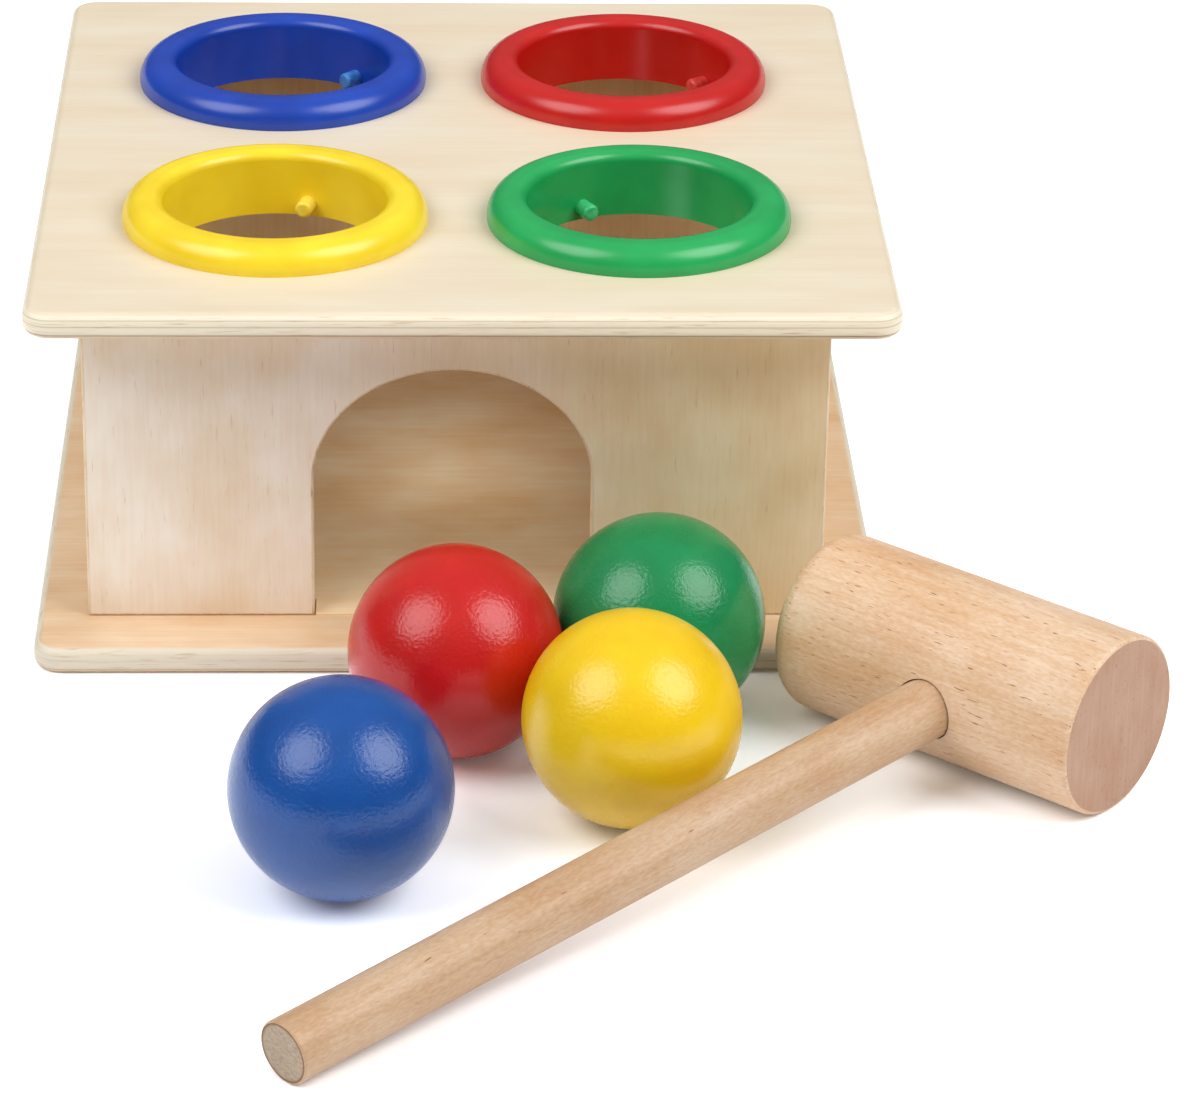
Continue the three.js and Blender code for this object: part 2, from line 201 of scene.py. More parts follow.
@dataclass(frozen=True)
class Finish:
    """A surface whose first layer is its colour, and whose further layers darken that."""

    name: str
    layers: tuple[Layer, ...]
    relief: Relief
    roughness: float
    ior: float = 1.48

    def colour(self, tree: bpy.types.NodeTree, origin: Vector, turn: Euler) -> bpy.types.NodeSocket:
        """Lays the layers over each other.

        Args:
            tree: The material's node tree.
            origin: Origin of the pattern's frame.
            turn: Turn of the pattern's frame.

        Returns:
            The colour's output socket.
        """
        base, *shades = [layer.tone(tree, origin, turn) for layer in self.layers]
        for shade in shades:
            base = add_node(tree, "ShaderNodeMix", {SHARE: 1.0, UNDER: base, OVER: shade}, **DARKEN)
        return base

    def material(self, origin: Vector = Vector(), turn: Euler = Euler()) -> bpy.types.Material:
        """Makes the material.

        Args:
            origin: Origin of the pattern's frame, in metres.
            turn: Turn of the pattern's frame.

        Returns:
            The material.
        """
        material = bpy.data.materials.new(self.name)
        material.use_nodes = True
        tree = material.node_tree
        tree.nodes.clear()
        space = pattern_space(tree, self.relief.size_mm, origin, turn)
        waves = {"Vector": space, "Scale": 1.0, "Detail": self.relief.detail}
        height = add_node(tree, "ShaderNodeTexNoise", waves)
        depth = self.relief.depth_mm * MM
        bump = {"Height": height, "Strength": self.relief.strength, "Distance": depth}
        inputs = {
            "Base Color": self.colour(tree, origin, turn),
            "Roughness": self.roughness,
            "IOR": self.ior,
            "Normal": add_node(tree, "ShaderNodeBump", bump),
        }
        surface = add_node(tree, "ShaderNodeBsdfPrincipled", inputs)
        add_node(tree, "ShaderNodeOutputMaterial", {"Surface": surface})
        return material


@dataclass(frozen=True)
class PanelFinish(Finish):
    """Plywood with rounded edges, which show its inner plies and the glue lines between them."""

    core: str = "F0E5CE"
    seam: str = "D9CDB4"
    glue: str = "BFA586"
    lowest: str = "E8D9C0"
    chip: Layer = Layer((0.3, 8.0, 8.0), "FFFFFF", "DCC9B2", low=0.58, high=0.76)
    underside: float = 0.0
    thickness: float = 6.0 * MM
    lower_face: float = 0.02
    upper_face: float = 0.9
    face_fade: float = 0.03

    def plies(self) -> list[tuple[float, str]]:
        """Gives the edge's tones by height, as shares of the thickness.

        Returns:
            Colour stops: a glue line over the lowest ply, and two seams in the core above it.
        """
        low = [(0.16, self.lowest), (0.2, self.glue), (0.26, self.core)]
        middle = [(0.5, self.core), (0.54, self.seam), (0.58, self.core)]
        high = [(0.74, self.core), (0.77, self.seam), (0.8, self.core)]
        return [*low, *middle, *high]

    def colour(self, tree: bpy.types.NodeTree, origin: Vector, turn: Euler) -> bpy.types.NodeSocket:
        """Shows the face veneers above and below, and the plies between.

        Args:
            tree: The material's node tree.
            origin: Origin of the pattern's frame.
            turn: Turn of the pattern's frame.

        Returns:
            The colour's output socket.
        """
        face = super().colour(tree, origin, turn)
        unit = self.thickness / MM
        level = pattern_space(tree, (unit, unit, unit), Vector((0, 0, self.underside)), Euler())
        height = add_node(tree, "ShaderNodeSeparateXYZ", {"Vector": level}, output="Z")
        edge = add_node(tree, "ShaderNodeValToRGB", {"Fac": height}, stops=self.plies())
        chips = self.chip.tone(tree, origin, turn)
        edge = add_node(tree, "ShaderNodeMix", {SHARE: 1.0, UNDER: edge, OVER: chips}, **DARKEN)
        veneers = [(0.0, "FFFFFF"), (self.lower_face, "000000")]
        veneers += [(self.upper_face, "000000"), (self.upper_face + self.face_fade, "FFFFFF")]
        outer = add_node(tree, "ShaderNodeValToRGB", {"Fac": height}, stops=veneers)
        return add_node(tree, "ShaderNodeMix", {SHARE: outer, UNDER: edge, OVER: face}, **COLOUR_MIX)


@dataclass(frozen=True)
class WallFinish(Finish):
    """Plywood whose tone turns tanner from the left of the box to its right."""

    right_tone: str = "FFFFFF"
    left_end: float = -10.0 * MM
    right_end: float = 50.0 * MM

    def colour(self, tree: bpy.types.NodeTree, origin: Vector, turn: Euler) -> bpy.types.NodeSocket:
        """Lays the change of tone over the grain.

        Args:
            tree: The material's node tree.
            origin: Origin of the pattern's frame.
            turn: Turn of the pattern's frame.

        Returns:
            The colour's output socket.
        """
        face = super().colour(tree, origin, turn)
        unit = (self.right_end - self.left_end) / MM
        level = pattern_space(tree, (unit, unit, unit), Vector((self.left_end, 0, 0)), Euler())
        across = add_node(tree, "ShaderNodeSeparateXYZ", {"Vector": level}, output="X")
        stops = [(0.0, "FFFFFF"), (1.0, self.right_tone)]
        drift = add_node(tree, "ShaderNodeValToRGB", {"Fac": across}, stops=stops)
        return add_node(tree, "ShaderNodeMix", {SHARE: 1.0, UNDER: face, OVER: drift}, **DARKEN)


@dataclass(frozen=True)
class RimmedFinish(Finish):
    """End grain that is darker in a ring along its rim."""

    rim: str = "FFFFFF"
    rim_from: float = 0.84
    radius: float = 6.5 * MM

    def colour(self, tree: bpy.types.NodeTree, origin: Vector, turn: Euler) -> bpy.types.NodeSocket:
        """Lays the darker rim over the end grain.

        Args:
            tree: The material's node tree.
            origin: Middle of the end face.
            turn: Turn of the pattern's frame.

        Returns:
            The colour's output socket.
        """
        face = super().colour(tree, origin, turn)
        unit = self.radius / MM
        place = pattern_space(tree, (unit, unit, unit), origin, turn)
        reach = add_node(tree, "ShaderNodeVectorMath", {0: place}, output="Value", operation="LENGTH")
        half_way = 0.5 + self.rim_from / 2
        stops = [(self.rim_from, "FFFFFF"), (half_way, self.rim)]
        ring = add_node(tree, "ShaderNodeValToRGB", {"Fac": reach}, stops=stops)
        return add_node(tree, "ShaderNodeMix", {SHARE: 1.0, UNDER: face, OVER: ring}, **DARKEN)


def finish_piece(
    bm: bmesh.types.BMesh,
    name: str,
    body: str,
    node: str,
    materials: list[bpy.types.Material],
) -> None:
    """Turns a bmesh into a piece that stands for a CAD node.

    Args:
        bm: The shape, in place; it is freed.
        name: The piece's name.
        body: The CAD body that it moves with.
        node: The CAD node that it stands for.
        materials: Its finishes, by its faces' material numbers.
    """
    bmesh.ops.remove_doubles(bm, verts=bm.verts, dist=PIECE_MERGE)
    bmesh.ops.recalc_face_normals(bm, faces=bm.faces)
    for face in bm.faces:
        face.smooth = True
    for edge in bm.edges:
        edge.smooth = edge.calc_face_angle(0.0) < CREASE_TURN
    mesh = bpy.data.meshes.new(name)
    bm.to_mesh(mesh)
    bm.free()
    for material in materials:
        mesh.materials.append(material)
    piece = bpy.data.objects.new(name, mesh)
    bpy.context.scene.collection.objects.link(piece)
    weighted = piece.modifiers.new("even_normals", "WEIGHTED_NORMAL")
    weighted.keep_sharp = True
    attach(piece, body)
    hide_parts(node)
    LOG.info("%s: %d faces on %s", name, len(mesh.polygons), body)


def dress_node(node: str, material: bpy.types.Material) -> None:
    """Gives a CAD node that stays in view its finish.

    Args:
        node: The node's name.
        material: The finish.
    """
    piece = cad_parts[node]
    piece.data.materials.clear()
    piece.data.materials.append(material)
    LOG.info("%s: kept", node)


def span(node: str, direction: Vector) -> tuple[float, float]:
    """Gives the least and the greatest reach of a CAD node along a direction."""
    reach = [v.co.dot(direction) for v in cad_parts[node].data.vertices]
    return min(reach), max(reach)


def board(low: Vector, high: Vector) -> bmesh.types.BMesh:
    """Makes a plain board between two corners.

    Args:
        low: Its lowest corner.
        high: Its highest corner.

    Returns:
        The board's bmesh.
    """
    bm = bmesh.new()
    bmesh.ops.create_cube(bm, size=1.0)
    bmesh.ops.scale(bm, verts=bm.verts, vec=high - low)
    bmesh.ops.translate(bm, verts=bm.verts, vec=(low + high) / 2)
    return bm


def outline_edges(bm: bmesh.types.BMesh, points: list[Vector]) -> list[bmesh.types.BMEdge]:
    """Joins points to a closed line and returns its edges."""
    corners = [bm.verts.new(p) for p in points]
    return [bm.edges.new((a, b)) for a, b in zip(corners, corners[1:] + corners[:1])]


def fill_and_raise(bm: bmesh.types.BMesh, edges: list[bmesh.types.BMEdge], raise_by: Vector) -> None:
    """Fills closed lines in a plane, with holes left open, and extrudes the face to a solid.

    Args:
        bm: The bmesh that holds the lines.
        edges: The lines' edges.
        raise_by: The way and the length of the extrusion.
    """
    bmesh.ops.triangle_fill(bm, use_beauty=True, use_dissolve=False, edges=edges)
    raised = bmesh.ops.extrude_face_region(bm, geom=bm.faces[:], use_keep_orig=True)["geom"]
    moved = [g for g in raised if isinstance(g, bmesh.types.BMVert)]
    bmesh.ops.translate(bm, verts=moved, vec=raise_by)
    bmesh.ops.recalc_face_normals(bm, faces=bm.faces)


def round_edges(
    bm: bmesh.types.BMesh, edges: list[bmesh.types.BMEdge], radius: float, segments: int
) -> list[bmesh.types.BMFace]:
    """Rounds edges over.

    Args:
        bm: The shape.
        edges: The edges to round.
        radius: Radius of the rounding.
        segments: Number of steps across it.

    Returns:
        The new faces.
    """
    made = bmesh.ops.bevel(
        bm, geom=edges, offset=radius, segments=segments, profile=0.5, material=-1, affect="EDGES"
    )
    return made["faces"]


def sharp_edges(bm: bmesh.types.BMesh) -> list[bmesh.types.BMEdge]:
    """Gives the edges at which the surface turns enough to be rounded over."""
    return [e for e in bm.edges if e.calc_face_angle(0.0) > SHARP_TURN]


def spun(points: list[Vector], axis_point: Vector, axis: Vector, steps: int) -> bmesh.types.BMesh:
    """Spins a line of points about an axis to a closed solid.

    Args:
        points: The line, in a plane through the axis.
        axis_point: A point on the axis.
        axis: The axis.
        steps: Number of steps in a full turn.

    Returns:
        The solid's bmesh.
    """
    bm = bmesh.new()
    corners = [bm.verts.new(p) for p in points]
    edges = [bm.edges.new(pair) for pair in zip(corners, corners[1:])]
    turn = 2 * math.pi
    bmesh.ops.spin(
        bm, geom=corners + edges, cent=axis_point, axis=axis, angle=turn, steps=steps, use_merge=True
    )
    bmesh.ops.remove_doubles(bm, verts=bm.verts, dist=SPIN_MERGE)
    bmesh.ops.recalc_face_normals(bm, faces=bm.faces)
    return bm


def arc(
    centre: Vector, across: Vector, along: Vector, angles: tuple[float, float], steps: int
) -> list[Vector]:
    """Gives points on an arc of an ellipse.

    Args:
        centre: Its centre.
        across: Half axis at 0 degrees.
        along: Half axis at 90 degrees.
        angles: First and last angle, in degrees.
        steps: Number of steps.

    Returns:
        The points, both ends included.
    """
    first, last = angles
    turns = [math.radians(first + (last - first) * i / steps) for i in range(steps + 1)]
    return [centre + math.cos(t) * across + math.sin(t) * along for t in turns]


def cut_away(bm: bmesh.types.BMesh, cutter: bmesh.types.BMesh) -> bmesh.types.BMesh:
    """Cuts one solid out of another.

    Args:
        bm: The solid that is cut; it is freed.
        cutter: The solid that is taken away; it is freed.

    Returns:
        The solid that is left.
    """
    helpers = []
    for solid in (bm, cutter):
        mesh = bpy.data.meshes.new("helper")
        solid.to_mesh(mesh)
        solid.free()
        helpers.append(bpy.data.objects.new("helper", mesh))
        bpy.context.scene.collection.objects.link(helpers[-1])
    body, tool = helpers
    cut = body.modifiers.new("cut", "BOOLEAN")
    cut.operation = "DIFFERENCE"
    cut.solver = "EXACT"
    cut.object = tool
    left = bmesh.new()
    left.from_object(body, bpy.context.evaluated_depsgraph_get())
    for helper in helpers:
        bpy.data.meshes.remove(helper.data)
    return left


@dataclass
class Panel:
    """The top or the base: a plywood panel with round corners and rounded-over edges."""

    node: str
    slot: str
    finish: PanelFinish
    holes: list[Vector] = field(default_factory=list)
    hole_radius: float = 26.7 * MM
    hole_sides: int = 96
    cut_depth: float = 24.0 * MM
    corner: float = 6.0 * MM
    corner_steps: int = 8
    edge_round: float = 2.2 * MM
    edge_steps: int = 6

    def build(self) -> bmesh.types.BMesh:
        """Builds the panel's mesh in place.

        Returns:
            The panel's bmesh.
        """
        low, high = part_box(self.node)
        bm = board(low, high)
        upright = [e for e in bm.edges if (e.verts[0].co - e.verts[1].co).xy.length < PIECE_MERGE]
        round_edges(bm, upright, self.corner, self.corner_steps)
        round_edges(bm, sharp_edges(bm), self.edge_round, self.edge_steps)
        for hole in self.holes:
            cutter = bmesh.new()
            bmesh.ops.create_cone(
                cutter,
                cap_ends=True,
                segments=self.hole_sides,
                radius1=self.hole_radius,
                radius2=self.hole_radius,
                depth=self.cut_depth,
                matrix=Matrix.Translation((hole.x, hole.y, low.z)),
            )
            bm = cut_away(bm, cutter)
        return bm

    def dress(self) -> None:
        """Builds the piece and gives it its plywood."""
        material = self.finish.material(turn=Grain.ACROSS.turn)
        finish_piece(self.build(), f"{self.node}_ply", "bench", self.node, [material])


@dataclass
class Walls:
    """The four walls of the box, the front one with its arch."""

    finish: WallFinish
    back_finish: Finish
    edge_finish: Finish
    ease: float = 0.6 * MM
    ease_steps: int = 3
    arch_width: float = 60.0 * MM
    arch_height: float = 58.3 * MM
    arch_rise: float = 26.0 * MM
    arch_offset: float = -0.8 * MM
    arch_steps: int = 48

    def front(self) -> bmesh.types.BMesh:
        """Builds the front wall, with a flat-sided arch whose top is half an ellipse.

        Returns:
            The wall's bmesh.
        """
        low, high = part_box("front_wall")
        middle = (low.x + high.x) / 2 + self.arch_offset
        half = Vector((self.arch_width / 2, 0, 0))
        foot = Vector((middle, low.y, low.z))
        spring = foot + Vector((0, 0, self.arch_height - self.arch_rise))
        crown = arc(spring, half, Vector((0, 0, self.arch_rise)), (0, 180), self.arch_steps)
        outline = ((low.x, low.z), (low.x, high.z), (high.x, high.z), (high.x, low.z))
        corners = [Vector((x, low.y, z)) for x, z in outline]
        bm = bmesh.new()
        edges = outline_edges(bm, [*corners, foot + half, *crown, foot - half])
        fill_and_raise(bm, edges, Vector((0, high.y - low.y, 0)))
        self.ease_edges(bm, sharp_edges(bm))
        return bm

    def plain(self, node: str) -> bmesh.types.BMesh:
        """Builds a plain wall with eased edges.

        Args:
            node: The CAD node that it stands for.

        Returns:
            The wall's bmesh.
        """
        bm = board(*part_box(node))
        self.ease_edges(bm, bm.edges[:])
        return bm

    def ease_edges(self, bm: bmesh.types.BMesh, edges: list[bmesh.types.BMEdge]) -> None:
        """Eases a wall's edges, which then have the second finish."""
        for face in round_edges(bm, edges, self.ease, self.ease_steps):
            face.material_index = SECOND_FINISH

    def dress(self) -> None:
        """Builds the four walls and gives them their plywood."""
        edge = self.edge_finish.material(turn=Grain.UPRIGHT.turn)
        front = [self.finish.material(turn=Grain.UPRIGHT.turn), edge]
        finish_piece(self.front(), "front_wall_ply", "bench", "front_wall", front)
        back = [self.back_finish.material(turn=Grain.UPRIGHT.turn), edge]
        for wall, woods in (("back_wall", back), ("left_wall", front), ("right_wall", front)):
            finish_piece(self.plain(wall), f"{wall}_ply", "bench", wall, woods)


@dataclass
class Ring:
    """A moulded ring: a bead on the top, a sleeve through the hole and three pegs inside."""

    colour: Colour
    finish: Finish
    # The pegs' paler plastic, which is a painted highlight
    peg_painted_highlight: Finish
    first_peg_deg: float
    bead_width: float = 8.8 * MM
    waist: float = 1.1 * MM
    lip: float = 2.4 * MM
    lip_drop: float = 2.2 * MM
    crest: float = 1.6 * MM
    slope_steps: int = 32
    lip_steps: int = 16
    sleeve_wall: float = 2.0 * MM
    sleeve_ease: float = 0.5 * MM
    peg_radius: float = 1.9 * MM
    peg_length: float = 4.3 * MM
    peg_rise: float = 2.7 * MM
    peg_root: float = 1.0 * MM
    peg_ease: float = 0.8 * MM
    peg_ease_steps: int = 4
    peg_sides: int = 32
    pegs: int = 3
    steps: int = 160

    @property
    def node(self) -> str:
        """Name of the CAD node."""
        return f"ring_{self.colour.value}"

    def build(self) -> bmesh.types.BMesh:
        """Builds the ring's mesh in place.

        Returns:
            The ring's bmesh.
        """
        low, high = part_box(self.node)
        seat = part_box("top_panel")[1].z
        middle = Vector(((low.x + high.x) / 2, (low.y + high.y) / 2, 0))
        bore = (high.x - low.x) / 2 - self.bead_width
        rise = high.z - seat - self.waist
        foot = -math.degrees(math.asin(self.waist / rise))
        flat = self.lip + self.crest
        outward = Vector((self.bead_width - flat, 0, 0))
        slope_middle = middle + Vector((bore + flat, 0, seat + self.waist))
        slope = arc(slope_middle, outward, Vector((0, 0, rise)), (foot, 90), self.slope_steps)
        lip_middle = middle + Vector((bore + self.lip, 0, high.z - self.lip_drop))
        lip_axes = (Vector((self.lip, 0, 0)), Vector((0, 0, self.lip_drop)))
        lip = arc(lip_middle, *lip_axes, (90, 180), self.lip_steps)
        sleeve = bore + self.sleeve_wall
        ease = self.sleeve_ease
        lower = [(bore, low.z), (sleeve - ease, low.z), (sleeve, low.z + ease), (sleeve, seat)]
        line = [*slope, *lip, *[middle + Vector((r, 0, z)) for r, z in lower], slope[0]]
        bm = spun(line, middle, Vector((0, 0, 1)), self.steps)
        for i in range(self.pegs):
            angle = math.radians(self.first_peg_deg) + i * 2 * math.pi / self.pegs
            self.add_peg(bm, middle + Vector((0, 0, low.z + self.peg_rise)), bore, angle)
        return bm

    def add_peg(self, bm: bmesh.types.BMesh, middle: Vector, bore: float, angle: float) -> None:
        """Adds a round peg that points from the sleeve to the ring's middle.

        Args:
            bm: The ring's bmesh.
            middle: The ring's middle at the pegs' height.
            bore: The sleeve's inner radius.
            angle: The peg's place round the ring.
        """
        length = self.peg_length + self.peg_root
        out = Matrix.Translation((bore + self.peg_root - length / 2, 0, 0))
        inward = out @ Matrix.Rotation(-math.pi / 2, 4, "Y")
        place = Matrix.Translation(middle) @ Matrix.Rotation(angle, 4, "Z") @ inward
        made = bmesh.ops.create_cone(
            bm,
            cap_ends=True,
            segments=self.peg_sides,
            radius1=self.peg_radius,
            radius2=self.peg_radius,
            depth=length,
            matrix=place,
        )
        # The peg's faces get the paler plastic, which is a painted highlight
        for face in {f for v in made["verts"] for f in v.link_faces}:
            face.material_index = SECOND_FINISH
        tip = place @ Vector((0, 0, length / 2))
        end = {v for v in made["verts"] if (v.co - tip).length < length / 2}
        rim = {e for v in end for e in v.link_edges if set(e.verts) <= end}
        round_edges(bm, list(rim), self.peg_ease, self.peg_ease_steps)

    def dress(self) -> None:
        """Builds the ring and gives it its plastic."""
        plastics = [self.finish.material(), self.peg_painted_highlight.material()]
        finish_piece(self.build(), f"{self.node}_moulded", "bench", self.node, plastics)


@dataclass
class Ball:
    """A wooden ball, dipped in paint, that rests on the table."""

    colour: Colour
    finish: Finish
    subdivisions: int = 6

    @property
    def node(self) -> str:
        """Name of the CAD node."""
        return f"ball_{self.colour.value}"

    def build(self) -> bmesh.types.BMesh:
        """Builds the ball's mesh in place.

        Returns:
            The ball's bmesh.
        """
        low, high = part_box(self.node)
        bm = bmesh.new()
        radius = (high.z - low.z) / 2
        place = Matrix.Translation((low + high) / 2)
        bmesh.ops.create_icosphere(bm, subdivisions=self.subdivisions, radius=radius, matrix=place)
        return bm

    def dress(self) -> None:
        """Builds the ball and gives it its paint."""
        body = f"{self.colour.value}_ball"
        paint = [self.finish.material()]
        finish_piece(self.build(), f"{self.node}_painted", body, self.node, paint)


@dataclass
class Hammer:
    """The hammer: a turned head with a socket, and a handle that is glued into it."""

    head_wood: Finish
    handle_wood: Finish
    cap_wood: Finish
    end_wood: RimmedFinish
    azimuth_deg: float = -41.7
    lean_deg: float = 6.7
    far_round: float = 4.5 * MM
    near_ease: float = 1.0 * MM
    end_ease: float = 0.5 * MM
    end_inset: float = 0.8 * MM
    handle_radius: float = 6.5 * MM
    socket_gap: float = 0.3 * MM
    steps: int = 160
    ease_steps: int = 8
    side_steps: int = 24
    flat_facing: float = 0.99
    head_axis: Vector = field(init=False)
    head_middle: Vector = field(init=False)
    head_radius: float = field(init=False)
    head_length: float = field(init=False)
    crossing: Vector = field(init=False)
    handle_axis: Vector = field(init=False)
    handle_ends: tuple[float, float] = field(init=False)

    def __post_init__(self) -> None:
        """Reads the head's and the handle's axes from the CAD nodes."""
        turn = math.radians(self.azimuth_deg)
        self.head_axis = Vector((math.cos(turn), math.sin(turn), 0))
        self.head_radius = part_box("hammer_head")[1].z / 2
        square = Vector((self.head_axis.y, -self.head_axis.x, 0))
        far, near = span("hammer_head", self.head_axis)
        side = sum(span("hammer_head", square)) / 2
        self.head_length = near - far
        middle = self.head_axis * (far + near) / 2 + square * side
        self.head_middle = Vector((middle.x, middle.y, self.head_radius))
        level = Matrix.Rotation(-math.radians(self.lean_deg), 3, "Z") @ square
        across = Vector((-level.y, level.x, 0))
        aside = sum(span("hammer_handle", across)) / 2 - self.head_middle.dot(across)
        self.crossing = self.head_middle + self.head_axis * aside / self.head_axis.dot(across)
        reach = span("hammer_handle", level)[1] - self.crossing.dot(level)
        drop = math.asin((self.head_radius - self.handle_radius) / reach)
        self.handle_axis = level * math.cos(drop) - Vector((0, 0, math.sin(drop)))
        start = self.crossing.dot(self.handle_axis)
        first, last = span("hammer_handle", self.handle_axis)
        self.handle_ends = (first - start, last - start - self.end_inset)

    def turned_bar(
        self,
        middle: Vector,
        axis: Vector,
        ends: tuple[float, float],
        radius: float,
        eases: tuple[float, float],
    ) -> bmesh.types.BMesh:
        """Spins a round bar with rounded ends.

        Args:
            middle: A point on its axis.
            axis: Its axis.
            ends: Its two ends, along the axis from that point.
            radius: Its radius.
            eases: Rounding of the two ends.

        Returns:
            The bar's bmesh.
        """
        out = axis.orthogonal().normalized()
        foot, top = [middle + axis * end for end in ends]
        first, last = eases
        low_side = foot + out * radius + axis * first
        high_side = top + out * radius - axis * last
        line = [foot]
        line += arc(low_side - out * first, out * first, axis * first, (-90, 0), self.ease_steps)
        line += [low_side.lerp(high_side, i / self.side_steps) for i in range(1, self.side_steps)]
        line += arc(high_side - out * last, out * last, axis * last, (0, 90), self.ease_steps)
        line.append(top)
        return spun(line, middle, axis, self.steps)

    def mark_end(self, bm: bmesh.types.BMesh, axis: Vector) -> None:
        """Gives the flat face at the end that an axis points to its second finish."""
        for face in bm.faces:
            face.material_index = SECOND_FINISH if face.normal.dot(axis) > self.flat_facing else 0

    def head(self) -> bmesh.types.BMesh:
        """Builds the head, with the socket that the handle goes into.

        Returns:
            The head's bmesh.
        """
        half = self.head_length / 2
        eases = (self.far_round, self.near_ease)
        bar = self.turned_bar(self.head_middle, self.head_axis, (-half, half), self.head_radius, eases)
        self.mark_end(bar, self.head_axis)
        gap = self.socket_gap
        ends = (self.handle_ends[0] - gap, 2 * self.head_radius)
        radius = self.handle_radius + gap
        socket = self.turned_bar(self.crossing, self.handle_axis, ends, radius, (gap, gap))
        return cut_away(bar, socket)

    def handle(self) -> bmesh.types.BMesh:
        """Builds the handle, which ends inside the head.

        Returns:
            The handle's bmesh.
        """
        axis, ends = self.handle_axis, self.handle_ends
        eases = (self.socket_gap, self.end_ease)
        bar = self.turned_bar(self.crossing, axis, ends, self.handle_radius, eases)
        self.mark_end(bar, axis)
        return bar

    def dress(self) -> None:
        """Builds both pieces and gives them their beech."""
        along_head = self.head_axis.to_track_quat("Z", "Y").to_euler()
        along_handle = self.handle_axis.to_track_quat("Z", "Y").to_euler()
        end = self.crossing + self.handle_axis * self.handle_ends[1]
        head_woods = [self.head_wood.material(self.head_middle, along_head), self.cap_wood.material()]
        handle_woods = [wood.material(end, along_handle) for wood in (self.handle_wood, self.end_wood)]
        finish_piece(self.head(), "hammer_head_beech", "hammer", "hammer_head", head_woods)
        bar = self.handle()
        finish_piece(bar, "hammer_handle_beech", "hammer", "hammer_handle", handle_woods)


@dataclass(frozen=True)
class SoftBox:
    """A soft box: its name, the way to it from the object, and its power in watts."""

    name: str
    way: tuple[float, float, float]
    power: float


